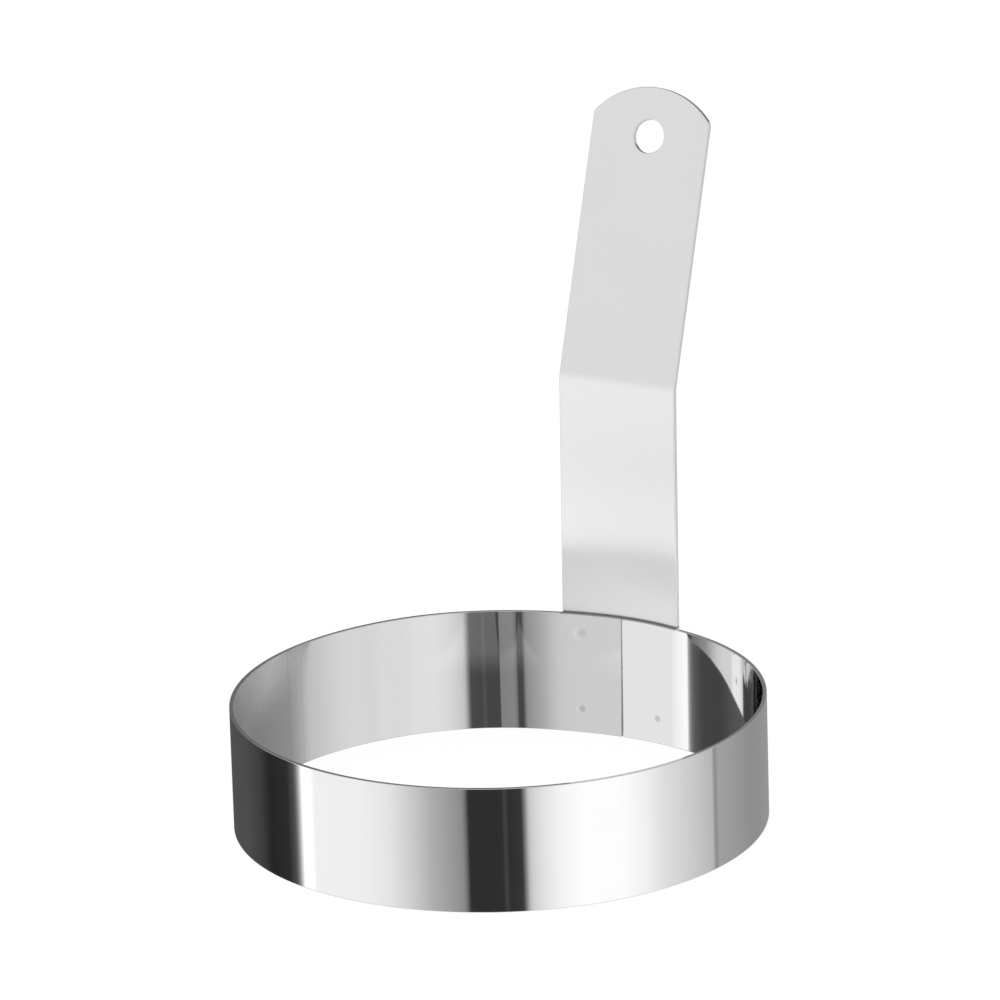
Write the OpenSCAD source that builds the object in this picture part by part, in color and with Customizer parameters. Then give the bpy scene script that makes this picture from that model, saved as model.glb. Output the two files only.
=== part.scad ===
// Egg ring: a rolled steel band, closed behind an upright handle that is spot welded over its joint.
// Millimetres. The ring's axis is Z, the ring stands on Z = 0, and the handle is on the +Y side.

/* [Ring] */
// Inside diameter of the ring
ring_d = 100; // [80:0.5:150]
// Height of the band
ring_h = 24.2; // [20:0.2:40]
// Thickness of the band
band_t = 0.8; // [0.6:0.05:1.5]
// Outside radius of the bends on each side of the flat behind the handle
shoulder_r = 28; // [12:0.5:34]
// How far the flat behind the handle runs past the weld nuggets, to where the bends' centres are
flat_margin = 0.2; // [0.1:0.1:3]
// Width of the butt joint at the bottom edge
joint_low = 0.45; // [0.1:0.05:1]
// Width of the butt joint at the top edge
joint_top = 0.25; // [0.1:0.05:1]

/* [Handle] */
// Width of the handle strip
strip_w = 25; // [16:0.5:36]
// Thickness of the handle strip
strip_t = 1.2; // [0.9:0.05:2]
// Height of the handle's foot above the band's bottom edge
foot_lift = 0.5; // [0.2:0.1:2]
// Height of the bend above the band's top edge
neck_h = 47.9; // [30:0.5:90]
// Outward lean of the neck, in degrees from upright
neck_lean = 1.5; // [0.5:0.5:8]
// Outward lean of the grip, in degrees from upright
grip_lean = 19; // [12:0.5:60]
// Length of the grip, from the corner of the bend to the middle of the tip
grip_l = 57.2; // [40:0.5:120]
// Inside radius of the bend between neck and grip
bend_r = 8; // [2:0.5:20]
// Inside radius of the slight bend at the band's top edge
rim_bend_r = 40; // [10:1:80]
// Height of the rounded tip above the end of the strip's straight sides
tip_rise = 6.5; // [5.5:0.5:8]
// Radius of the corners beside the tip's arc
corner_r = 2; // [0.5:0.5:5]
// Diameter of the hang hole
hole_d = 6.5; // [4:0.5:10]
// Distance from the tip to the centre of the hang hole
hole_drop = 9.5; // [7:0.5:20]

/* [Welds] */
// Diameter of a weld nugget where the two sheets meet
weld_d = 3.6; // [2.4:0.1:5]
// Diameter of a weld nugget at its two ends
weld_end_d = 2.4; // [1:0.1:2.4]
// Depth of a weld nugget in the band
weld_band_depth = 0.4; // [0.2:0.05:0.45]
// Depth of a weld nugget in the handle strip
weld_strip_depth = 0.6; // [0.3:0.05:0.7]
// Distance from the strip's side edge to a weld's centre
weld_side = 4; // [2.8:0.1:8]
// Distance from the foot's lower edge to the centre of a lower weld
weld_low = 4.5; // [2.5:0.1:7]
// Distance from the band's top edge to the centre of an upper weld
weld_high = 3.5; // [2.5:0.1:7]
// Diameter of the dimple that a welding electrode leaves
mark_d = 3; // [2:0.1:4]
// Depth of the dimple that a welding electrode leaves
mark_depth = 0.12; // [0.05:0.01:0.2]

/* [Hidden] */

$fn = 120;

// Extra length of a cut past the face that it opens
over = 1;

// Two curves that run smoothly into each other cross by this much, so that none only touches the next
crossing = 0.01;

ring_r = ring_d / 2 + band_t;

// Weld centres: columns across the handle and rows up the foot
weld_x = strip_w / 2 - weld_side;
weld_z_low = foot_lift + weld_low;
weld_z_high = ring_h - weld_high;

// The flat behind the handle, with a shoulder bend that runs smoothly into the round band on each side
shoulder_x = weld_x + weld_d / 2 + flat_margin;
shoulder_reach = ring_r - shoulder_r + crossing;
shoulder_a = asin(shoulder_x / shoulder_reach);
shoulder_y = shoulder_reach * cos(shoulder_a);
flat_y = shoulder_y + shoulder_r - crossing;

// The strip's two bends, and the length that each takes from the straight runs beside it
bend_a = grip_lean - neck_lean;
rim_tangent = (rim_bend_r + strip_t) * tan(neck_lean / 2);
bend_tangent = (bend_r + strip_t) * tan(bend_a / 2);
foot_run = ring_h - foot_lift - rim_tangent;
neck_run = neck_h / cos(neck_lean) - rim_tangent - bend_tangent;
grip_run = grip_l - bend_tangent;

// Directions in the strip's side view, outward and up: along a run with some lean, and through it to its back
function along(lean) = [sin(lean), cos(lean)];
function across(lean) = [cos(lean), -sin(lean)];

// Largest step along a bend, in degrees
bend_step = 1.5;

// The strip's path in side view, measured from the lower edge of the foot's front face
rim_centre = [0, foot_run] + (rim_bend_r + strip_t) * across(0);
neck_start = rim_centre - (rim_bend_r + strip_t) * across(neck_lean);
bend_start = neck_start + neck_run * along(neck_lean);
bend_centre = bend_start + (bend_r + strip_t) * across(neck_lean);
grip_start = bend_centre - (bend_r + strip_t) * across(grip_lean);
strip_reach = ring_h + neck_h + grip_l;

// The tip's arc and corners: the arc's radius follows from the strip's width and the tip's height
corner_x = strip_w / 2 - corner_r + crossing;
corner_reach = tip_rise - corner_r + crossing;
tip_r = corner_r - crossing + (pow(corner_x, 2) + pow(corner_reach, 2)) / (2 * corner_reach);
corner_rise = tip_r - tip_rise;

// Places along the grip, from where its straight run starts
tip_y = grip_run - tip_r;
corner_y = grip_run - tip_rise;
hole_y = grip_run - hole_drop;

// An electrode's tip is a sphere that sinks by the depth of its dimple
mark_r = (pow(mark_d / 2, 2) + pow(mark_depth, 2)) / (2 * mark_depth);

// Outline of the ring in top view, at a depth below the band's outer face. The round part is cut away
// outside the two shoulder bends' centres, and the bends and the flat between them close it again.
module ring_outline(depth) {
    span = 2 * ring_r;
    intersection() {
        union() {
            difference() {
                circle(r = ring_r - depth);
                polygon([
                    [-shoulder_x, shoulder_y], [shoulder_x, shoulder_y],
                    [span * sin(shoulder_a), span * cos(shoulder_a)],
                    [-span * sin(shoulder_a), span * cos(shoulder_a)]
                ]);
            }
            for (side = [-1, 1])
                translate([side * shoulder_x, shoulder_y])
                    circle(r = shoulder_r - depth);
            translate([-shoulder_x, 0])
                square([2 * shoulder_x, shoulder_y + shoulder_r]);
        }
        polygon([
            [-span, -span], [span, -span], [span, flat_y - depth], [-span, flat_y - depth]
        ]);
    }
}

// The gap where the band's two ends meet, cut right through and a little wider at the bottom
module butt_joint() {
    translate([0, flat_y + over, 0])
        rotate([90, 0, 0])
            linear_extrude(band_t + 2 * over)
                polygon([
                    [-joint_low / 2, -over], [joint_low / 2, -over], [joint_low / 2, 0],
                    [joint_top / 2, ring_h], [joint_top / 2, ring_h + over],
                    [-joint_top / 2, ring_h + over], [-joint_top / 2, ring_h],
                    [-joint_low / 2, 0]
                ]);
}

// Places its children at the centre of each weld, on the face where band and strip meet
module at_weld(side, z) {
    translate([side * weld_x, flat_y, z])
        children();
}

module at_all_welds() {
    for (side = [-1, 1], z = [weld_z_low, weld_z_high])
        at_weld(side, z)
            children();
}

// A weld nugget: widest where the sheets meet, tapered into both of them
module nugget() {
    rotate([-90, 0, 0])
        rotate_extrude()
            polygon([
                [0, -weld_band_depth], [weld_end_d / 2, -weld_band_depth],
                [weld_d / 2, 0],
                [weld_end_d / 2, weld_strip_depth], [0, weld_strip_depth]
            ]);
}

// The electrodes' spherical tips, sunk into the band's inner face and the strip's outer face
module electrode_marks() {
    translate([0, -band_t - mark_r + mark_depth, 0])
        sphere(r = mark_r);
    translate([0, strip_t + mark_r - mark_depth, 0])
        sphere(r = mark_r);
}

// Points of a bend in the strip's side view, between two leans, at a radius about its centre
function bend_points(centre, radius, from, to) =
    let (steps = ceil((to - from) / bend_step))
        [for (i = [0:steps]) centre - radius * across(from + (to - from) * i / steps)];

// The strip's front face (depth 0) or back face (depth strip_t) in side view, from foot to tip
function face_points(depth) = concat(
    [[depth, 0]],
    bend_points(rim_centre, rim_bend_r + strip_t - depth, 0, neck_lean),
    bend_points(bend_centre, bend_r + strip_t - depth, neck_lean, grip_lean),
    [grip_start + (grip_run + over) * along(grip_lean) + depth * across(grip_lean)]
);

function reversed(list) = [for (i = [len(list) - 1:-1:0]) list[i]];

// The bent strip as its side view gives it, wider than the strip, with an uncut tip
module bent_sheet() {
    translate([-strip_w, flat_y, foot_lift])
        rotate([90, 0, 90])
            linear_extrude(2 * strip_w)
                polygon(concat(face_points(0), reversed(face_points(strip_t))));
}

// Places its children on the grip's front face, with Y along the grip and Z out of its front
module on_grip() {
    translate([0, flat_y + grip_start[0], foot_lift + grip_start[1]])
        rotate([90 - grip_lean, 0, 0])
            children();
}

// Outline of the strip in front view: straight sides, and an arc with rounded corners at the tip
module strip_outline() {
    intersection() {
        union() {
            translate([-strip_w, -strip_reach])
                square([2 * strip_w, strip_reach + corner_y]);
            for (side = [-1, 1])
                translate([side * corner_x, corner_y])
                    circle(r = corner_r);
            intersection() {
                translate([0, tip_y])
                    circle(r = tip_r);
                polygon([
                    [-corner_x, 0], [corner_x, 0],
                    [corner_x, corner_y], [2 * corner_x, corner_y + corner_rise],
                    [2 * corner_x, 2 * grip_l], [-2 * corner_x, 2 * grip_l],
                    [-2 * corner_x, corner_y + corner_rise], [-corner_x, corner_y]
                ]);
            }
        }
        translate([-strip_w / 2, -strip_reach])
            square([strip_w, 2 * strip_reach]);
    }
}

module ring_band() {
    color([0.78, 0.79, 0.80])
        difference() {
            linear_extrude(ring_h)
                difference() {
                    ring_outline(0);
                    ring_outline(band_t);
                }
            butt_joint();
            at_all_welds()
                nugget();
            at_all_welds()
                electrode_marks();
        }
}

module handle() {
    color([0.84, 0.85, 0.86])
        difference() {
            intersection() {
                bent_sheet();
                on_grip()
                    linear_extrude(2 * strip_reach, center = true)
                        strip_outline();
            }
            on_grip()
                translate([0, hole_y, -strip_t - over])
                    cylinder(d = hole_d, h = strip_t + 2 * over);
            at_all_welds()
                nugget();
            at_all_welds()
                electrode_marks();
        }
}

module weld(side, z) {
    color([0.66, 0.66, 0.65])
        at_weld(side, z)
            nugget();
}

module weld_upper_left() { weld(-1, weld_z_high); }
module weld_upper_right() { weld(1, weld_z_high); }
module weld_lower_left() { weld(-1, weld_z_low); }
module weld_lower_right() { weld(1, weld_z_low); }

ring_band();
handle();
weld_upper_left();
weld_upper_right();
weld_lower_left();
weld_lower_right();
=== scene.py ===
"""Looks of a spot-welded egg ring: a mirror-polished band and an upright satin handle.

Everything is in the row frame. Lengths are in millimetres unless a comment says otherwise. An azimuth is an
angle round the ring's axis, in degrees from the handle's side towards +X.
"""

import math

import bmesh
import bpy
import numpy as np
from mathutils import Matrix, Vector
from mathutils.geometry import tessellate_polygon


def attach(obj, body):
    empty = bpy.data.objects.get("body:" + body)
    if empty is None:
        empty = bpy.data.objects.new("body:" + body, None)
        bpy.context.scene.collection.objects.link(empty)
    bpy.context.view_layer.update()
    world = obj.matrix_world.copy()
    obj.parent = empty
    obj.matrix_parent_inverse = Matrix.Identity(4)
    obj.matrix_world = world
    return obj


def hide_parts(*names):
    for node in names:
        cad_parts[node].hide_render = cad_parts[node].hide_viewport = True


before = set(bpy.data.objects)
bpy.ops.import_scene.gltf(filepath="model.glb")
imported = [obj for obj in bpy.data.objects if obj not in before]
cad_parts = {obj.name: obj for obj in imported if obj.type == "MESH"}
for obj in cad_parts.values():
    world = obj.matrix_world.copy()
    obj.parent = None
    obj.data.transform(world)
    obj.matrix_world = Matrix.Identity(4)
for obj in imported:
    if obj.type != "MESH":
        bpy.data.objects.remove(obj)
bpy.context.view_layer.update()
scene = bpy.context.scene
MM = 0.001

# Sizes, as in the CAD source

RING_R = 50.8
BAND_T = 0.8
BAND_H = 24.2
SHOULDER_R = 28.0
SHOULDER_X = 10.5
SHOULDER_REACH = RING_R - SHOULDER_R
SHOULDER_A = math.asin(SHOULDER_X / SHOULDER_REACH)
SHOULDER_Y = SHOULDER_REACH * math.cos(SHOULDER_A)
FLAT_Y = SHOULDER_Y + SHOULDER_R
JOINT_LOW = 0.45
JOINT_TOP = 0.25

STRIP_W = 25.0
STRIP_T = 1.2
FOOT_LIFT = 0.5
NECK_H = 47.9
NECK_LEAN = math.radians(1.5)
GRIP_LEAN = math.radians(19)
GRIP_L = 57.2
BEND_R = 8.0
RIM_BEND_R = 40.0
TIP_R = 16.5
CORNER_R = 2.0
HOLE_R = 3.25
HOLE_DROP = 9.5

WELD_X = 8.5
WELD_LOW = 5.0
WELD_HIGH = 20.7

# Weld nuggets, from front to back: (radius, depth behind the face where the sheets meet)
NUGGET = [(1.2, -0.4), (1.8, 0.0), (1.2, 0.6)]
NUGGET_SIDES = 32
# How far a nugget's normals tip to the front or back, per millimetre of depth
NUGGET_SLOPE = 0.3

# Weld marks inside the band: across the handle, up the band, radius, depth, width of the sloping edge
MARKS = [
    (-8.65, 20.3, 1.5, 0.050, 1.4),
    (-8.65, 4.8, 1.1, 0.045, 1.0),
    (8.0, 5.1, 1.1, 0.050, 1.0),
    (8.35, 20.5, 1.0, 0.012, 0.9),
]

# Electrode marks on the handle's back: their places across and along the blank, and their radius, depth and
# sloping edge
BACK_MARKS = [(x, z - FOOT_LIFT) for z in (WELD_LOW, WELD_HIGH) for x in (-WELD_X, WELD_X)]
BACK_MARK = (1.5, 0.12, 0.5)

# Rings in a mark, and points round each
MARK_RINGS = 12
MARK_SIDES = 48

# Radius of the rounded edges, and the angles of the points on their section
BAND_EDGE = 0.14
STRIP_EDGE = 0.18
EDGE_ARC = [math.radians(d) for d in (0, 22.5, 45, 67.5, 90)]


# Meshes with one normal at each vertex


class Shell:
    """Vertices with their own normals, and the faces between them."""

    def __init__(self):
        self.points = []
        self.normals = []
        self.faces = []

    def vertex(self, point, normal):
        """A new vertex. Returns its number."""
        self.points.append(Vector(point))
        self.normals.append(Vector(normal).normalized())
        return len(self.points) - 1

    def tube(self, rows):
        """Quads between closed rows of vertices, each row with the next."""
        for a, b in zip(rows, rows[1:]):
            for i in range(len(a)):
                j = (i + 1) % len(a)
                self.faces.append((a[i], a[j], b[j], b[i]))

    def cap(self, row, normal):
        """A flat face over a closed row, with vertices of its own, as its edge is sharp."""
        self.faces.append(tuple(self.vertex(self.points[i], normal) for i in row))

    def fill(self, rows, flat):
        """A flat face bounded by the first row and pierced by the others.

        flat gives a point's two coordinates in the face.
        """
        loops = [[Vector((*flat(self.points[i]), 0)) for i in row] for row in rows]
        order = [i for row in rows for i in row]
        places = [p for loop in loops for p in loop]
        for tri in tessellate_polygon(loops):
            a, b, c = [places[i] for i in tri]
            # A triangle between points in one line would spoil the normals beside it
            if (b - a).cross(c - a).length > 1e-6:
                self.faces.append(tuple(order[i] for i in tri))

    def object(self, name, shape=None):
        """The Blender object. shape turns a point and its normal into their place in the row frame."""
        points, normals = self.points, self.normals
        if shape:
            pairs = [shape(p, n) for p, n in zip(points, normals)]
            points, normals = [p for p, _ in pairs], [n for _, n in pairs]
        faces = []
        for face in self.faces:
            # Each face is turned the way that its vertices' normals point
            middle = sum((points[i] for i in face), Vector((0, 0, 0))) / len(face)
            spokes = [points[i] - middle for i in face]
            facing = sum((a.cross(b) for a, b in zip(spokes, spokes[1:] + spokes[:1])), Vector((0, 0, 0)))
            meant = sum((normals[i] for i in face), Vector((0, 0, 0)))
            faces.append(face if facing.dot(meant) > 0 else tuple(reversed(face)))
        mesh = bpy.data.meshes.new(name)
        mesh.from_pydata([p * MM for p in points], [], faces)
        mesh.validate()
        mesh.shade_smooth()
        mesh.normals_split_custom_set_from_vertices([tuple(n) for n in normals])
        made = bpy.data.objects.new(name, mesh)
        scene.collection.objects.link(made)
        return made


def sliced(shell, cuts, reach):
    """The same shell cut by planes, each as (place, direction), where its faces' middles pass the test."""
    mesh = bmesh.new()
    layer = mesh.verts.layers.float_vector.new("turned")
    made = [mesh.verts.new(p) for p in shell.points]
    for v, n in zip(made, shell.normals):
        v[layer] = n
    for f in shell.faces:
        mesh.faces.new([made[i] for i in f])
    for place, direction in cuts:
        faces = [f for f in mesh.faces if reach(f.calc_center_median())]
        edges = list({e for f in faces for e in f.edges})
        verts = list({v for f in faces for v in f.verts})
        parts = verts + edges + faces
        bmesh.ops.bisect_plane(mesh, geom=parts, plane_co=place, plane_no=direction, dist=1e-5)
    mesh.verts.index_update()
    cut = Shell()
    for v in mesh.verts:
        cut.vertex(v.co, v[layer])
    cut.faces = [tuple(v.index for v in f.verts) for f in mesh.faces]
    mesh.free()
    return cut


def rounded(edge, inward, up, facing, rising, backwards=False):
    """Points round a rounded edge of a section, whose centre is at (inward, up).

    Each is (place inward, place up, share of the normal outward, share upward). facing and rising are the
    signs of those shares.
    """
    rows = []
    for a in EDGE_ARC:
        ca, sa = math.cos(a), math.sin(a)
        rows.append((inward - facing * edge * ca, up + rising * edge * sa, facing * ca, rising * sa))
    return rows[::-1] if backwards else rows


def dimple(shell, vertex, x, up, radius, depth, slope):
    """A round pressed mark with a sloping edge. Returns its border.

    vertex makes a vertex of the shell from a place across and up, a depth and the two slopes there.
    """
    rings = []
    for k in range(MARK_RINGS):
        rho = radius * (1 - k / MARK_RINGS)
        edge = min(1.0, (radius - rho) / slope)
        sunk = depth * edge * edge * (3 - 2 * edge)
        steep = depth * 6 * edge * (1 - edge) / slope if edge < 1 else 0.0
        ring = []
        for i in range(MARK_SIDES):
            a = 2 * math.pi * i / MARK_SIDES
            ca, sa = math.cos(a), math.sin(a)
            ring.append(vertex(shell, x + rho * ca, up + rho * sa, sunk, -steep * ca, -steep * sa))
        rings.append(ring)
    shell.tube(rings)
    middle = vertex(shell, x, up, depth, 0, 0)
    inmost = rings[-1]
    shell.faces += [(a, b, middle) for a, b in zip(inmost, inmost[1:] + inmost[:1])]
    return rings[0]


# The band

# The CAD outline is flat behind the handle. The photographed band keeps some of its roll there, and the
# handle's foot follows it: how far its outer face lies inside the round, as (azimuth, at the rim, at the
# foot).
INSETS = [
    (-46, 0.0, 0.0), (-34, 0.40, 0.25), (-24, 0.78, 0.80), (-15, 0.95, 1.45), (-8, 0.98, 1.60),
    (0, 0.75, 1.55), (8, 0.68, 1.30), (15, 0.72, 1.15), (26, 0.28, 0.45), (40, 0.0, 0.0),
]
# Steps in azimuth over which the insets are smoothed
SMOOTHING = (-3, -1.5, 0, 1.5, 3)
# Azimuth that the band's surface faces, by azimuth: each end is nearly straight, with a bend beside it
TURNS = [
    (-60, -60), (-46, -44.8), (-37, -35.5), (-29.9, -27.2), (-29.1, -21.6), (-25.4, -21.4), (-24.9, -24.0),
    (-24.2, -23.2), (-22, -19.2), (-19.5, -15), (-17.2, -11.5), (-14.9, -9), (-12, -8.2), (-0.01, -7.7),
    (0.01, 8.5), (12.6, 8.5), (13.6, 14.6), (17.3, 15.8), (19.0, 19.6), (24, 24),
]
# Azimuth past which the band is plain round on both sides
ROLL_END = 60

# Steps along the band: on each half of the flat, round each shoulder and round the rest
FLAT_STEPS = 7
SHOULDER_STEPS = 21
ROUND_STEPS = 600
# The band's faces behind this Y are cut upright at the flat's stations, so that the roll can bend them
CUT_FROM = 40


def inset(azimuth, z):
    """How far the band's outer face lies inside the round, smoothed over a few degrees."""
    near = [azimuth + d for d in SMOOTHING]
    at, at_rim, at_foot = zip(*INSETS)
    rim = sum(np.interp(near, at, at_rim)) / len(near)
    foot = sum(np.interp(near, at, at_foot)) / len(near)
    share = min(1.0, max(0.0, z / BAND_H))
    return foot + (rim - foot) * share


def cad_radius(azimuth):
    """Distance of the CAD outline's outer face from the ring's axis."""
    a = abs(math.radians(azimuth))
    if a >= SHOULDER_A:
        return RING_R
    if a <= math.atan2(SHOULDER_X, FLAT_Y):
        return FLAT_Y / math.cos(a)
    d = a - SHOULDER_A
    return SHOULDER_REACH * math.cos(d) + math.sqrt(SHOULDER_R**2 - (SHOULDER_REACH * math.sin(d)) ** 2)


def rolled(p, n):
    """Moves a point of the CAD outline and its normal to the photographed outline."""
    azimuth = math.degrees(math.atan2(p.x, p.y))
    if abs(azimuth) > ROLL_END:
        return p, n
    if abs(p.x) <= SHOULDER_X:
        faced = 0.0
    elif abs(math.radians(azimuth)) < SHOULDER_A:
        bend = math.atan2(abs(p.x) - SHOULDER_X, p.y - SHOULDER_Y)
        faced = math.degrees(bend) * math.copysign(1, azimuth)
    else:
        faced = azimuth
    turned = azimuth if azimuth > TURNS[-1][0] else np.interp(azimuth, *zip(*TURNS))
    t = math.radians(turned - faced)
    out = Vector((p.x, p.y, 0)).normalized()
    move = RING_R - inset(azimuth, p.z) - cad_radius(azimuth)
    n = Vector((n.x * math.cos(t) + n.y * math.sin(t), -n.x * math.sin(t) + n.y * math.cos(t), n.z))
    return p + out * move, n


def band_stations():
    """Stations from the joint's right side round to its left side.

    Each is (place across, None) on the flat, and (azimuth in radians, part of the band) past it.
    """
    rows = [(x, None) for x in np.linspace(0, SHOULDER_X, FLAT_STEPS + 1)]
    rows += [(a, "right") for a in np.linspace(0, SHOULDER_A, SHOULDER_STEPS + 1)[1:]]
    rows += [(a, "round") for a in np.linspace(SHOULDER_A, 2 * math.pi - SHOULDER_A, ROUND_STEPS + 1)[1:]]
    rows += [(a, "left") for a in np.linspace(-SHOULDER_A, 0, SHOULDER_STEPS + 1)[1:]]
    rows += [(x, None) for x in np.linspace(-SHOULDER_X, 0, FLAT_STEPS + 1)[1:]]
    # At the joint, the sign of zero tells its two sides apart
    rows[0] = (0.0, None)
    rows[-1] = (-0.0, None)
    return rows


def band_point(station, depth, z):
    """Place and outward normal of the band at a station, at a depth below its outer face."""
    value, part = station
    if part is None:
        gap = (JOINT_LOW + (JOINT_TOP - JOINT_LOW) * z / BAND_H) / 2
        x = value if abs(value) > 1e-6 else math.copysign(gap, value)
        return Vector((x, FLAT_Y - depth, z)), Vector((0, 1, 0))
    n = Vector((math.sin(value), math.cos(value), 0))
    if part == "round":
        p = n * (RING_R - depth)
    else:
        side = 1 if part == "right" else -1
        p = Vector((side * SHOULDER_X, SHOULDER_Y, 0)) + n * (SHOULDER_R - depth)
    return Vector((p.x, p.y, z)), n


def inner_vertex(shell, x, z, sunk, slope_x, slope_z):
    """A vertex in a mark on the inner face of the flat."""
    return shell.vertex((x, FLAT_Y - BAND_T + sunk, z), (-slope_x, -1, -slope_z))


def make_band():
    """The band, open at its joint, with the weld marks on the inner face of its flat."""
    shell = Shell()
    # The section as (depth, z, share of the normal outward, share upward), round from the outer face's foot
    edge, rim, inner = BAND_EDGE, BAND_H - BAND_EDGE, BAND_T - BAND_EDGE
    section = rounded(edge, edge, edge, 1, -1, backwards=True)
    section += rounded(edge, edge, rim, 1, 1)
    section += rounded(edge, inner, rim, -1, 1, backwards=True)
    section += rounded(edge, inner, edge, -1, -1)
    # The section's two points at the top and foot of the inner face
    top_in = 3 * len(EDGE_ARC) - 1
    low_in = top_in + 1
    rows = []
    for station in band_stations():
        row = []
        for depth, z, out, up in section:
            p, n = band_point(station, depth, z)
            row.append(shell.vertex(p, n * out + Vector((0, 0, up))))
        rows.append(row)
    last = len(rows) - 1
    for s in range(last):
        on_flat = s < FLAT_STEPS or s >= last - FLAT_STEPS
        for k in range(len(section)):
            # The flat's inner face has marks in it, so it is made below
            if k == top_in and on_flat:
                continue
            m = (k + 1) % len(section)
            shell.faces.append((rows[s][k], rows[s + 1][k], rows[s + 1][m], rows[s][m]))
    for side, span in ((1, range(FLAT_STEPS + 1)), (-1, range(last - FLAT_STEPS, last + 1))):
        border = [rows[s][top_in] for s in span] + [rows[s][low_in] for s in reversed(span)]
        holes = [dimple(shell, inner_vertex, *mark) for mark in MARKS if mark[0] * side > 0]
        shell.fill([border] + holes, lambda p: (p.x, p.z))
    # The two sheared ends at the joint
    shell.cap(rows[0], (-1, 0, 0))
    shell.cap(rows[-1], (1, 0, 0))
    steps = [SHOULDER_X * k / FLAT_STEPS for k in range(1, FLAT_STEPS)]
    cuts = [((side * x, 0, 0), (1, 0, 0)) for side in (-1, 1) for x in steps]
    return sliced(shell, cuts, lambda c: c.y > CUT_FROM).object("band_surface", rolled)


# The handle

BEND_FRONT_R = BEND_R + STRIP_T
RIM_FRONT_R = RIM_BEND_R + STRIP_T
RIM_TANGENT = RIM_FRONT_R * math.tan(NECK_LEAN / 2)
BEND_TANGENT = BEND_FRONT_R * math.tan((GRIP_LEAN - NECK_LEAN) / 2)
FOOT_RUN = BAND_H - FOOT_LIFT - RIM_TANGENT
NECK_RUN = NECK_H / math.cos(NECK_LEAN) - RIM_TANGENT - BEND_TANGENT
GRIP_RUN = GRIP_L - BEND_TANGENT
RIM_ARC = RIM_FRONT_R * NECK_LEAN
BEND_ARC = BEND_FRONT_R * (GRIP_LEAN - NECK_LEAN)

# Distances along the blank from the foot's lower edge: where the neck, the bend, the grip and the tip come
NECK_AT = FOOT_RUN + RIM_ARC
BEND_AT = NECK_AT + NECK_RUN
GRIP_AT = BEND_AT + BEND_ARC
TIP_AT = GRIP_AT + GRIP_RUN

# Radius of the foot's corners
FOOT_CORNER_R = 0.4
# The foot's face lies this far behind the band's
FOOT_GAP = 0.01
# Height over the rim in which the strip, rolled at its foot, runs out to flat
RUN_OUT = NECK_H - 3

# The neck's surface is shaded as if it rolled back a little over the rim: by how much, and what share of
# that at each height
ROLL_BACK = math.radians(5)
ROLL_SHARES = [(30, 0), (34, 0.2), (38, 0.8), (42, 1), (48, 0.8), (56, 0.2), (62, 0)]

# Cuts across the blank in its slight bend at the rim, in its neck and in its main bend
RIM_CUTS = 2
NECK_CUTS = 16
BEND_CUTS = 14
# Places of the cuts along the blank
LONG_CUTS = np.linspace(-12, 12, 17)


def along(lean):
    """Direction along the strip at a lean, as (outward, up)."""
    return Vector((math.sin(lean), math.cos(lean)))


def across(lean):
    """Direction through the strip to its back at a lean, as (outward, up)."""
    return Vector((math.cos(lean), -math.sin(lean)))


def front_of_strip(s):
    """Place (outward, up) on the strip's front face and the lean there, at a distance s from the foot."""
    p = Vector((FLAT_Y, FOOT_LIFT))
    if s <= FOOT_RUN:
        return p + s * along(0), 0.0
    p = p + FOOT_RUN * along(0)
    centre = p + RIM_FRONT_R * across(0)
    if s <= NECK_AT:
        lean = (s - FOOT_RUN) / RIM_FRONT_R
        return centre - RIM_FRONT_R * across(lean), lean
    p = centre - RIM_FRONT_R * across(NECK_LEAN)
    if s <= BEND_AT:
        return p + (s - NECK_AT) * along(NECK_LEAN), NECK_LEAN
    p = p + NECK_RUN * along(NECK_LEAN)
    centre = p + BEND_FRONT_R * across(NECK_LEAN)
    if s <= GRIP_AT:
        lean = NECK_LEAN + (s - BEND_AT) / BEND_FRONT_R
        return centre - BEND_FRONT_R * across(lean), lean
    p = centre - BEND_FRONT_R * across(GRIP_LEAN)
    return p + (s - GRIP_AT) * along(GRIP_LEAN), GRIP_LEAN


def foot_shift(x, z):
    """How far the strip lies behind the CAD's, as its foot follows the band and its neck runs out flat."""
    azimuth = math.degrees(math.atan2(x, FLAT_Y))
    radius = RING_R - inset(azimuth, z)
    shift = math.sqrt(radius**2 - x**2) - FLAT_Y + FOOT_GAP
    left = 1 - min(1.0, max(0.0, (z - BAND_H) / RUN_OUT))
    return shift * left * left * (3 - 2 * left)


def bent(p, n):
    """Moves a point of the blank (across, along, depth) and its normal to the bent strip."""
    at, lean = front_of_strip(p.y)
    q = at + p.z * across(lean)
    lean += ROLL_BACK * np.interp(q.y, *zip(*ROLL_SHARES))
    d = n.y * along(lean) + n.z * across(lean)
    return Vector((p.x, q.x + foot_shift(p.x, q.y), q.y)), Vector((n.x, d.x, d.y))


def arc_points(cx, cy, r, start, end, steps):
    """Points on an arc with their outward normals."""
    rows = []
    for i in range(steps + 1):
        a = math.radians(start + (end - start) * i / steps)
        n = (math.cos(a), math.sin(a))
        rows.append(((cx + r * n[0], cy + r * n[1]), n))
    return rows


def blank_outline():
    """Outline of the blank, round to the left from the foot's right corner."""
    half, foot = STRIP_W / 2, FOOT_CORNER_R
    corner_x = half - CORNER_R
    rise = math.sqrt((TIP_R - CORNER_R) ** 2 - corner_x**2)
    turn = math.degrees(math.atan2(rise, corner_x))
    tip_y = TIP_AT - TIP_R
    rows = arc_points(half - foot, foot, foot, -90, 0, 6)
    rows += arc_points(corner_x, tip_y + rise, CORNER_R, 0, turn, 12)
    rows += arc_points(0, tip_y, TIP_R, turn, 180 - turn, 60)[1:]
    rows += arc_points(-corner_x, tip_y + rise, CORNER_R, 180 - turn, 180, 12)[1:]
    rows += arc_points(-half + foot, foot, foot, 180, 270, 6)
    return rows


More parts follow.
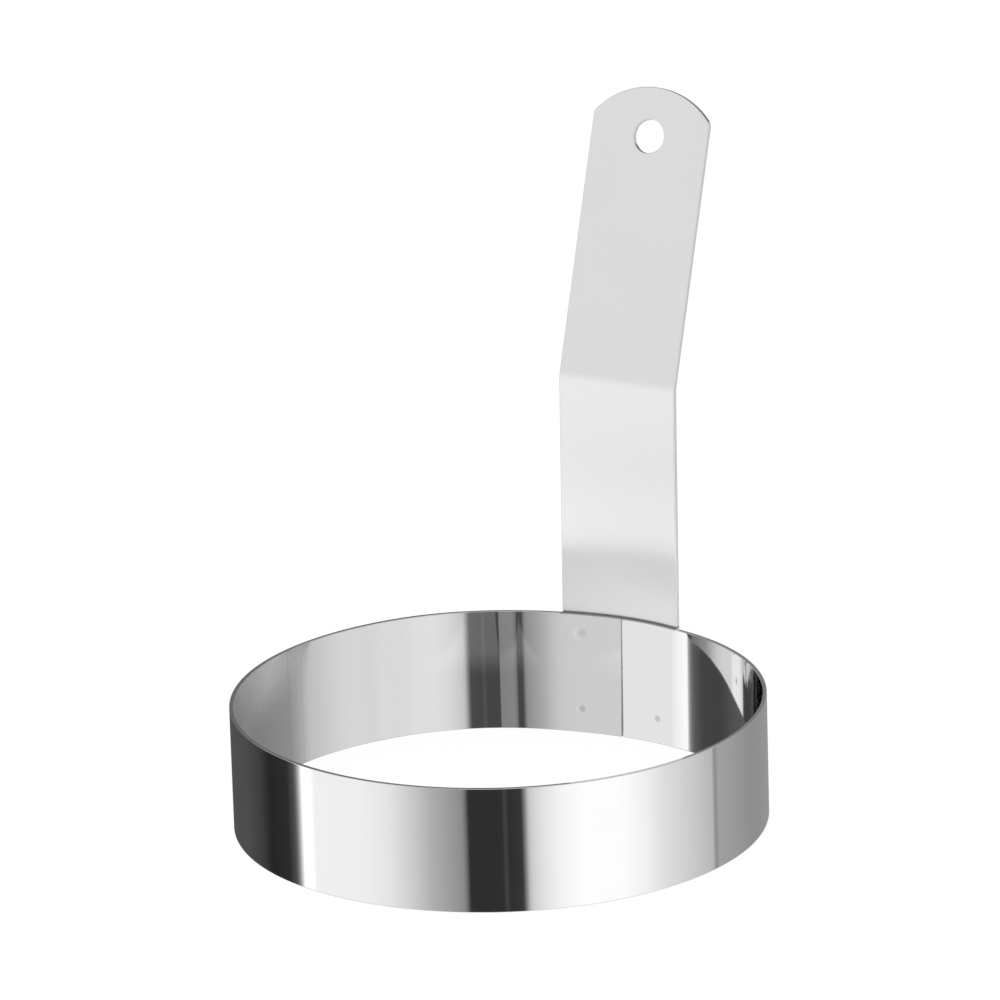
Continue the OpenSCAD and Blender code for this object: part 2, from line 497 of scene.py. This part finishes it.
def back_vertex(shell, x, s, sunk, slope_x, slope_s):
    """A vertex in a mark on the blank's back."""
    return shell.vertex((x, s, STRIP_T - sunk), (-slope_x, -slope_s, 1))


def make_handle():
    """The strip, made flat, pierced and marked, then bent."""
    shell = Shell()
    # Levels through the thickness: (inward, depth, share of the normal outward, share backward)
    edge = STRIP_EDGE
    levels = rounded(edge, edge, edge, 1, -1, backwards=True) + rounded(edge, edge, STRIP_T - edge, 1, 1)
    hole = arc_points(0, TIP_AT - HOLE_DROP, HOLE_R, 360, 0, 72)[:-1]
    loops = [blank_outline(), [(p, (-n[0], -n[1])) for p, n in hole]]
    fronts, backs = [], []
    for loop in loops:
        rows = []
        for inward, depth, out, back in levels:
            row = []
            for (x, s), (nx, ns) in loop:
                place = (x - inward * nx, s - inward * ns, depth)
                row.append(shell.vertex(place, (out * nx, out * ns, back)))
            rows.append(row)
        shell.tube(rows)
        fronts.append(rows[0])
        backs.append(rows[-1])
    shell.fill(fronts, lambda p: (p.x, p.y))
    backs += [dimple(shell, back_vertex, x, s, *BACK_MARK) for x, s in BACK_MARKS]
    shell.fill(backs, lambda p: (p.x, p.y))
    cut_at = [FOOT_RUN + RIM_ARC * i / RIM_CUTS for i in range(RIM_CUTS + 1)]
    cut_at += [BEND_AT + BEND_ARC * i / BEND_CUTS for i in range(BEND_CUTS + 1)]
    cut_at += [NECK_AT + NECK_RUN * i / NECK_CUTS for i in range(1, NECK_CUTS)]
    cuts = [((0, s, 0), (0, 1, 0)) for s in cut_at]
    cuts += [((x, 0, 0), (1, 0, 0)) for x in LONG_CUTS]
    return sliced(shell, cuts, lambda c: True).object("handle_surface", bent)


# The welds


def make_weld(name, x, z):
    """A nugget inside both sheets."""
    shell = Shell()
    rows = []
    for radius, depth in NUGGET:
        row = []
        for i in range(NUGGET_SIDES):
            a = 2 * math.pi * i / NUGGET_SIDES
            ca, sa = math.cos(a), math.sin(a)
            px, pz = x + radius * ca, z + radius * sa
            y = FLAT_Y + foot_shift(px, pz) + depth
            row.append(shell.vertex((px, y, pz), (ca, NUGGET_SLOPE * depth, sa)))
        rows.append(row)
    shell.tube(rows)
    shell.cap(rows[0], (0, -1, 0))
    shell.cap(rows[-1], (0, 1, 0))
    return shell.object(name)


pieces = [(make_band(), "ring_band", "polished_steel"), (make_handle(), "handle", "satin_steel")]
for height, z in (("upper", WELD_HIGH), ("lower", WELD_LOW)):
    for side, x in (("left", -WELD_X), ("right", WELD_X)):
        node = f"weld_{height}_{side}"
        pieces.append((make_weld(node + "_nugget", x, z), node, "weld_steel"))
for piece, node, slot in pieces:
    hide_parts(node)
    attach(piece, "root")


# Nodes


def empty_tree(owner):
    """The node tree of a material or world, with nothing in it."""
    owner.use_nodes = True
    owner.node_tree.nodes.clear()
    return owner.node_tree


def feed(tree, value, socket):
    """Gives an input a number or the value of an output."""
    if isinstance(value, (int, float)):
        socket.default_value = value
    else:
        tree.links.new(value, socket)


def maths(tree, kind, a, b=None):
    """Result of a Math node."""
    node = tree.nodes.new("ShaderNodeMath")
    node.operation = kind
    feed(tree, a, node.inputs[0])
    if b is not None:
        feed(tree, b, node.inputs[1])
    return node.outputs[0]


def fade(tree, value, low, high, first, last, smooth=True):
    """Change of a value from first to last between two places."""
    node = tree.nodes.new("ShaderNodeMapRange")
    node.interpolation_type = "SMOOTHSTEP" if smooth else "LINEAR"
    for key, number in (("From Min", low), ("From Max", high), ("To Min", first), ("To Max", last)):
        node.inputs[key].default_value = number
    tree.links.new(value, node.inputs["Value"])
    return node.outputs["Result"]


def dotted(tree, vector, direction):
    """Dot product of a vector and a fixed direction."""
    node = tree.nodes.new("ShaderNodeVectorMath")
    node.operation = "DOT_PRODUCT"
    tree.links.new(vector, node.inputs[0])
    node.inputs[1].default_value = direction
    return node.outputs["Value"]


def scaled(tree, vector, share):
    """A vector or colour times a number."""
    node = tree.nodes.new("ShaderNodeVectorMath")
    node.operation = "SCALE"
    tree.links.new(vector, node.inputs[0])
    feed(tree, share, node.inputs["Scale"])
    return node.outputs[0]


def in_mm(tree, place):
    """A place's three coordinates in millimetres."""
    node = tree.nodes.new("ShaderNodeSeparateXYZ")
    tree.links.new(scaled(tree, place, 1 / MM), node.inputs[0])
    return node.outputs


def distance(tree, a, b):
    """Length of a flat vector with these two coordinates."""
    squares = [maths(tree, "MULTIPLY", side, side) for side in (a, b)]
    return maths(tree, "SQRT", maths(tree, "ADD", *squares))


def blended(tree, a, b, share):
    """a where the share is 0, and b where it is 1."""
    change = maths(tree, "MULTIPLY", maths(tree, "SUBTRACT", b, a), share)
    return maths(tree, "ADD", change, a)


def multiplied(tree, shares):
    """Product of some shares."""
    product = shares[0]
    for share in shares[1:]:
        product = maths(tree, "MULTIPLY", product, share)
    return product


def within(tree, value, low, high, soft):
    """1 between two places and 0 outside them, with soft ends."""
    ends = [fade(tree, value, low - soft, low, 0, 1), fade(tree, value, high, high + soft, 1, 0)]
    return multiplied(tree, ends)


def darker(tree, mask, share):
    """1 where the mask is 0, and the share where it is 1."""
    return maths(tree, "SUBTRACT", 1.0, maths(tree, "MULTIPLY", mask, 1.0 - share))


def noise(tree, place, scale, detail):
    """A noise texture's value."""
    node = tree.nodes.new("ShaderNodeTexNoise")
    node.inputs["Scale"].default_value = scale
    node.inputs["Detail"].default_value = detail
    tree.links.new(place, node.inputs["Vector"])
    return node.outputs["Fac"]


def mixed_shaders(tree, share, first, second):
    """The first shader where the share is 0, and the second where it is 1."""
    node = tree.nodes.new("ShaderNodeMixShader")
    feed(tree, share, node.inputs[0])
    tree.links.new(first, node.inputs[1])
    tree.links.new(second, node.inputs[2])
    return node.outputs[0]


# Finishes, with painted shade and painted light among their marks

# Each pair says where a soft border starts and ends: the inner face's by radius, the handle side's by Y,
# and the lower end of what shows over the rim by Z
INNER_FACE = (50.2, 50.4)
HANDLE_SIDE = (40.0, 42.0)
RIM_LEVEL = (23.9, 24.1)

# Painted shade in the narrow gap between the band's rim and the handle: half its width, the softness of its
# sides and its top, and its top and share of the colour that is left, on the band and on the handle
GAP_SHADE_HALF = 12.6
GAP_SHADE_SIDE_SOFT = 0.1
GAP_SHADE_TOP_SOFT = 0.3
GAP_SHADE_ON_BAND = (25.0, 0.52)
GAP_SHADE_ON_STRIP = (24.3, 0.35)

# A darker patch of the band, by azimuth: where it starts, where it ends, and the share that is left
DARK_PATCH_START = (-68.5, -58.5)
DARK_PATCH_END = (-53.0, -36.0)
DARK_PATCH_SHARE = 0.80

# Fine dark lines up the inner face, by azimuth: (place, share that is left), and how soft they are
LINES = [(-83.4, 0.90), (-78.8, 0.94)]
LINE_SOFT = 0.35

# A darker, rougher area of the inner face, by azimuth: its ends and their softness, where its darkening
# ends, the share that is left, and its added roughness
ROUGH_AREA = (-130.0, -79.0)
ROUGH_AREA_SOFT = 4.0
ROUGH_AREA_DARK_END = (-84.0, -75.0)
ROUGH_AREA_SHARE = 0.72
ROUGH_AREA_ROUGHNESS = 0.22

# Darker middles of the weld marks: across the band, up it, and share of the colour that is left. The
# soft border of each starts and ends at these distances from its middle.
CORES = [(-9.0, 20.2, 0.88), (-8.75, 4.8, 0.78), (8.0, 5.1, 0.70)]
CORE_BORDER = (0.2, 1.0)

# Painted light on the handle's lighter stretch low on the neck: by Z, and its share of the colour
PAINTED_NECK_LIGHT = (36.0, 58.0)
PAINTED_NECK_LIGHT_SHARE = 1.13
# Painted dark reflection on the rounded edges that face the tip: by how nearly they face it, and the share
# that is left
TIP_EDGE_REFLECTION = (0.35, 0.7)
TIP_EDGE_REFLECTION_SHARE = 0.22

# The grain's height in metres and its detail, and the scale per metre, detail, range and tint of the cloudy
# wiping marks
GRAIN_HEIGHT = 0.00001
GRAIN_DETAIL = 4.0
CLOUD_SCALE = 90.0
CLOUD_DETAIL = 5.0
CLOUD_RANGE = (0.3, 0.7)
CLOUD_TINT = 0.015


def painted_gap_shade(tree, x, y, z, top):
    """Mask of the painted shade in the narrow gap between the band's rim and the handle, up to a height."""
    sides = within(tree, x, -GAP_SHADE_HALF, GAP_SHADE_HALF, GAP_SHADE_SIDE_SOFT)
    back = fade(tree, y, *HANDLE_SIDE, 0, 1)
    ends = [fade(tree, z, *RIM_LEVEL, 0, 1), fade(tree, z, top, top + GAP_SHADE_TOP_SOFT, 1, 0)]
    return multiplied(tree, [sides, back] + ends)


def band_marks(tree, place):
    """Share of the colour that is left on the band, its painted shade at the rim among it, and a mask of
    its darker, rougher area.
    """
    x, y, z = in_mm(tree, place)
    azimuth = maths(tree, "MULTIPLY", maths(tree, "ARCTAN2", x, y), 180 / math.pi)
    inner = fade(tree, distance(tree, x, y), *INNER_FACE, 1, 0)
    dark_patch = [fade(tree, azimuth, *DARK_PATCH_START, 0, 1), fade(tree, azimuth, *DARK_PATCH_END, 1, 0)]
    shares = [darker(tree, multiplied(tree, dark_patch), DARK_PATCH_SHARE)]
    for at, share in LINES:
        line = [inner, within(tree, azimuth, at, at, LINE_SOFT)]
        shares.append(darker(tree, multiplied(tree, line), share))
    rough_area = multiplied(tree, [inner, within(tree, azimuth, *ROUGH_AREA, ROUGH_AREA_SOFT)])
    dark = [rough_area, fade(tree, azimuth, *ROUGH_AREA_DARK_END, 1, 0)]
    shares.append(darker(tree, multiplied(tree, dark), ROUGH_AREA_SHARE))
    # Painted shade in the gap between the band's rim and the handle
    top, share = GAP_SHADE_ON_BAND
    shares.append(darker(tree, painted_gap_shade(tree, x, y, z, top), share))
    for at_x, at_z, share in CORES:
        away = distance(tree, maths(tree, "SUBTRACT", x, at_x), maths(tree, "SUBTRACT", z, at_z))
        core = [inner, fade(tree, y, *HANDLE_SIDE, 0, 1), fade(tree, away, *CORE_BORDER, 1, 0)]
        shares.append(darker(tree, multiplied(tree, core), share))
    return multiplied(tree, shares), rough_area


def strip_marks(tree, place):
    """Share of the colour that is left on the handle, with its painted shade, painted dark reflection and
    painted light; it has no rougher area.
    """
    x, y, z = in_mm(tree, place)
    # Painted shade in the gap between the handle and the band's rim
    top, share = GAP_SHADE_ON_STRIP
    gap_shade = darker(tree, painted_gap_shade(tree, x, y, z, top), share)
    # Painted dark reflection on the rounded edges that face the tip
    normal = tree.nodes.new("ShaderNodeNewGeometry").outputs["Normal"]
    tipward = dotted(tree, normal, (0, math.sin(GRIP_LEAN), math.cos(GRIP_LEAN)))
    tip_edge_reflection = darker(tree, fade(tree, tipward, *TIP_EDGE_REFLECTION, 0, 1), TIP_EDGE_REFLECTION_SHARE)
    # Painted light low on the neck
    neck_light = fade(tree, z, *PAINTED_NECK_LIGHT, PAINTED_NECK_LIGHT_SHARE, 1)
    return multiplied(tree, [gap_shade, tip_edge_reflection, neck_light]), None


def steel(name, colour, metal, roughness, spread, grain_scale, grain_bump, marks=None):
    """A steel with fine drawn grain in the bump, and cloudy wiping marks in the roughness and colour."""
    mat = bpy.data.materials.new(name)
    tree = empty_tree(mat)
    out = tree.nodes.new("ShaderNodeOutputMaterial")
    bsdf = tree.nodes.new("ShaderNodeBsdfPrincipled")
    bsdf.inputs["Metallic"].default_value = metal
    tree.links.new(bsdf.outputs["BSDF"], out.inputs["Surface"])
    place = tree.nodes.new("ShaderNodeTexCoord").outputs["Object"]
    stretch = tree.nodes.new("ShaderNodeMapping")
    stretch.inputs["Scale"].default_value = grain_scale
    tree.links.new(place, stretch.inputs["Vector"])
    bump = tree.nodes.new("ShaderNodeBump")
    bump.inputs["Strength"].default_value = grain_bump
    bump.inputs["Distance"].default_value = GRAIN_HEIGHT
    tree.links.new(noise(tree, stretch.outputs["Vector"], 1.0, GRAIN_DETAIL), bump.inputs["Height"])
    tree.links.new(bump.outputs["Normal"], bsdf.inputs["Normal"])
    clouds = noise(tree, place, CLOUD_SCALE, CLOUD_DETAIL)
    level = fade(tree, clouds, *CLOUD_RANGE, roughness - spread, roughness + spread, smooth=False)
    # Inputs 6 and 7 and output 2 are a Mix node's colours
    tint = tree.nodes.new("ShaderNodeMix")
    tint.data_type = "RGBA"
    tint.inputs[6].default_value = (*[c * (1 - CLOUD_TINT) for c in colour], 1)
    tint.inputs[7].default_value = (*[min(1, c * (1 + CLOUD_TINT)) for c in colour], 1)
    tree.links.new(clouds, tint.inputs[0])
    shown = tint.outputs[2]
    if marks:
        share, rough_area = marks(tree, place)
        shown = scaled(tree, shown, share)
        if rough_area:
            level = maths(tree, "ADD", level, maths(tree, "MULTIPLY", rough_area, ROUGH_AREA_ROUGHNESS))
    tree.links.new(level, bsdf.inputs["Roughness"])
    tree.links.new(shown, bsdf.inputs["Base Color"])
    return mat


finishes = {
    "polished_steel": steel(
        "polished_steel", (0.79, 0.79, 0.79), metal=1.0, roughness=0.05, spread=0.01,
        grain_scale=(300, 300, 3000), grain_bump=0.02, marks=band_marks,
    ),
    "satin_steel": steel(
        "satin_steel", (0.85, 0.85, 0.85), metal=0.5, roughness=0.22, spread=0.02,
        grain_scale=(6000, 400, 400), grain_bump=0.10, marks=strip_marks,
    ),
    "weld_steel": steel(
        "weld_steel", (0.66, 0.66, 0.65), metal=1.0, roughness=0.5, spread=0.05,
        grain_scale=(2000, 2000, 2000), grain_bump=0.2,
    ),
}
for piece, node, slot in pieces:
    piece.data.materials.clear()
    piece.data.materials.append(finishes[slot])


# Camera

# The camera that was fitted to the photograph: how far it stands to the right of the front and above the
# floor, its distance, its focal length and the photograph's width in pixels, its sensor's width, and small
# turns about X, Y and Z that put the object in its place in the picture
VIEW = math.radians(29.72)
ELEVATION = math.radians(20.378)
DISTANCE = 30.01 * RING_R
FOCAL_PIXELS = 8022.8
PHOTO_PIXELS = 1000
SENSOR = 36
TURN_X, TURN_Y, TURN_Z = [math.radians(d) for d in (-2.256, 0.058, 1.758)]

# Directions from the ring to the camera, and to the camera's right
level_part = math.cos(ELEVATION)
toward = Vector((math.sin(VIEW) * level_part, -math.cos(VIEW) * level_part, math.sin(ELEVATION)))
right = Vector((math.cos(VIEW), math.sin(VIEW), 0))


def make_camera():
    """The camera at the photograph's viewing angle."""
    base = Matrix((right, toward.cross(right), toward))
    turn_z, turn_y = Matrix.Rotation(TURN_Z, 3, "Z"), Matrix.Rotation(TURN_Y, 3, "Y")
    aim = turn_z @ turn_y @ Matrix.Rotation(TURN_X, 3, "X") @ base
    data = bpy.data.cameras.new("camera")
    data.sensor_width = SENSOR
    data.lens = FOCAL_PIXELS / PHOTO_PIXELS * SENSOR
    # In metres
    data.clip_start = 0.1
    data.clip_end = 20
    camera = bpy.data.objects.new("camera", data)
    camera.matrix_world = Matrix.Translation(toward * DISTANCE * MM) @ aim.transposed().to_4x4()
    scene.collection.objects.link(camera)
    return camera


scene.camera = make_camera()


# Studio

# Light panels round the object: (azimuth from the camera in degrees, to its right, and level there)
PANELS = [
    (-180, 0.09), (-140, 0.085), (-126, 0.06), (-117, 0.022), (-104, 0.03), (-98.8, 0.10), (-96.2, 0.50),
    (-94.3, 1.36), (-89.5, 1.36), (-87, 1.10), (-62, 1.08), (-50, 0.99), (-40, 0.78), (-30, 0.53),
    (-20, 0.38), (-16, 0.31), (-14.6, 0.032), (0, 0.033), (1.2, 0.08), (2.4, 0.033), (9, 0.045),
    (11.6, 0.74), (17, 0.95), (25, 1.14), (34, 1.24), (52, 1.24), (63, 1.12), (73, 0.93), (103, 0.58),
    (104.6, 0.2), (106, 0.45), (135, 0.33),
]
# The ramp holds half of each level, so that none is over 1
RAMP_SHARE = 0.5

# The panels fade into the soft light above and far below the horizon, by the direction's upward part, until
# this share of them is left
PANEL_TOP = (-0.15, 0.2)
PANEL_FOOT = (-0.8, -0.5)
PANEL_REST = 0.3

# Level of the soft light, and how much dimmer it is above the horizon behind the object: by the direction's
# upward part, and by its part towards the camera
SOFT = 0.60
DIM_UP = (0.05, 0.25)
DIM_BEHIND = (-0.85, -0.45)
DIM_SHARE = 0.67

# Level of the studio for matt surfaces, and of the background in the picture
MATT_LEVEL = 0.85
BACKGROUND = 1.0


def make_world():
    """The studio round the object, which the steel mirrors, and the white background."""
    world = bpy.data.worlds.new("studio")
    scene.world = world
    tree = empty_tree(world)
    out = tree.nodes.new("ShaderNodeOutputWorld")
    sky = tree.nodes.new("ShaderNodeBackground")
    sky.inputs["Color"].default_value = (1, 1, 1, 1)
    tree.links.new(sky.outputs[0], out.inputs[0])
    place = tree.nodes.new("ShaderNodeTexCoord").outputs["Generated"]
    ahead = dotted(tree, place, Vector((toward.x, toward.y, 0)).normalized())
    angle = maths(tree, "ARCTAN2", dotted(tree, place, right.normalized()), ahead)
    ramp = tree.nodes.new("ShaderNodeValToRGB")
    stops = ramp.color_ramp.elements
    stops.remove(stops[-1])
    for i, (degrees, level) in enumerate(PANELS):
        at = degrees / 360 + 0.5
        stop = stops[0] if i == 0 else stops.new(at)
        stop.position = at
        stop.color = (*[level * RAMP_SHARE] * 3, 1)
    tree.links.new(maths(tree, "ADD", maths(tree, "DIVIDE", angle, 2 * math.pi), 0.5), ramp.inputs[0])
    panels = maths(tree, "DIVIDE", ramp.outputs["Color"], RAMP_SHARE)
    upward = dotted(tree, place, (0, 0, 1))
    over = fade(tree, upward, *PANEL_TOP, 1.0, PANEL_REST)
    weight = maths(tree, "MINIMUM", over, fade(tree, upward, *PANEL_FOOT, PANEL_REST, 1.0))
    dim = [fade(tree, upward, *DIM_UP, 0, 1), fade(tree, ahead, *DIM_BEHIND, DIM_SHARE, 0)]
    soft = maths(tree, "MULTIPLY", maths(tree, "SUBTRACT", 1.0, multiplied(tree, dim)), SOFT)
    mirrored = blended(tree, soft, panels, weight)
    path = tree.nodes.new("ShaderNodeLightPath")
    shown = blended(tree, MATT_LEVEL, mirrored, path.outputs["Is Glossy Ray"])
    level = blended(tree, shown, BACKGROUND, path.outputs["Is Camera Ray"])
    tree.links.new(level, sky.inputs["Strength"])


# The floor: half its width in metres, how far it lies under the ring so that the faces don't coincide, the
# grey of its matt part, and the level and share of its glow
FLOOR_HALF = 4.0
FLOOR_DROP = 0.02
FLOOR_GREY = 0.9
FLOOR_GLOW = 1.04
FLOOR_GLOW_SHARE = 0.9

# What the steel mirrors of the floor inside the ring, painted shade and painted light that only reflections
# see: the border of that area by radius, the share of the studio that shows there, and its own painted dim
# light
INSIDE = (50.2, 50.8)
INSIDE_SHARE = 0.85
PAINTED_INSIDE_LIGHT = 0.045

# A lighter stretch of that painted light, from the ring's middle towards its front wall: its direction, its
# soft start along that, its two sides and their softness, and its light
PATCH_X, PATCH_Y = 0.554, -0.831
PATCH_START = (-19.8, -0.8)
PATCH_SIDES = (-8.5, 4.8)
PATCH_SOFT = 3.0
PATCH_LIGHT = 0.095


def make_floor():
    """The plain pale floor. The steel mirrors the studio beyond it, darker where the ring shades it, as
    painted shade, and with a painted dim light inside the ring.
    """
    mesh = bpy.data.meshes.new("floor")
    r = FLOOR_HALF
    mesh.from_pydata([(-r, -r, 0), (r, -r, 0), (r, r, 0), (-r, r, 0)], [], [(0, 1, 2, 3)])
    floor = bpy.data.objects.new("floor", mesh)
    scene.collection.objects.link(floor)
    floor.location.z = -FLOOR_DROP * MM
    mat = bpy.data.materials.new("pale_floor")
    tree = empty_tree(mat)
    out = tree.nodes.new("ShaderNodeOutputMaterial")
    paper = tree.nodes.new("ShaderNodeBsdfDiffuse")
    paper.inputs["Color"].default_value = (FLOOR_GREY, FLOOR_GREY, FLOOR_GREY, 1)
    glow = tree.nodes.new("ShaderNodeEmission")
    glow.inputs["Strength"].default_value = FLOOR_GLOW
    pale = mixed_shaders(tree, FLOOR_GLOW_SHARE, paper.outputs[0], glow.outputs[0])
    x, y, _ = in_mm(tree, tree.nodes.new("ShaderNodeNewGeometry").outputs["Position"])
    radius = distance(tree, x, y)
    # Painted shade: reflections see the studio darker through the floor inside the ring
    clear = tree.nodes.new("ShaderNodeBsdfTransparent")
    tree.links.new(fade(tree, radius, *INSIDE, INSIDE_SHARE, 1.0, smooth=False), clear.inputs["Color"])
    ahead = maths(tree, "ADD", maths(tree, "MULTIPLY", x, PATCH_X), maths(tree, "MULTIPLY", y, PATCH_Y))
    beside = maths(tree, "ADD", maths(tree, "MULTIPLY", x, -PATCH_Y), maths(tree, "MULTIPLY", y, PATCH_X))
    patch = [fade(tree, ahead, *PATCH_START, 0, 1), within(tree, beside, *PATCH_SIDES, PATCH_SOFT)]
    level = maths(tree, "ADD", PAINTED_INSIDE_LIGHT, maths(tree, "MULTIPLY", multiplied(tree, patch), PATCH_LIGHT))
    # Painted light inside the ring, which only reflections see
    inside_glow = tree.nodes.new("ShaderNodeEmission")
    inside_glow.inputs["Color"].default_value = (1, 1, 1, 1)
    level = maths(tree, "MULTIPLY", level, fade(tree, radius, *INSIDE, 1, 0))
    tree.links.new(level, inside_glow.inputs["Strength"])
    mirrored = tree.nodes.new("ShaderNodeAddShader")
    tree.links.new(clear.outputs[0], mirrored.inputs[0])
    tree.links.new(inside_glow.outputs[0], mirrored.inputs[1])
    path = tree.nodes.new("ShaderNodeLightPath")
    seen = mixed_shaders(tree, path.outputs["Is Glossy Ray"], pale, mirrored.outputs[0])
    tree.links.new(seen, out.inputs[0])
    mesh.materials.append(mat)


# The key light: its place and size in metres, and its power in watts
KEY_AT = Vector((-0.1, -0.3, 1.4))
KEY_SIZE = 1.0
KEY_POWER = 1.5


def make_key_light():
    """A large soft lamp over the object, which the steel doesn't mirror."""
    data = bpy.data.lights.new("key_light", "AREA")
    data.shape = "DISK"
    data.size = KEY_SIZE
    data.energy = KEY_POWER
    made = bpy.data.objects.new("key_light", data)
    made.location = KEY_AT
    made.rotation_euler = (-KEY_AT).to_track_quat("-Z", "Y").to_euler()
    made.visible_glossy = False
    scene.collection.objects.link(made)


make_world()
make_floor()
make_key_light()

scene.view_settings.view_transform = "Standard"
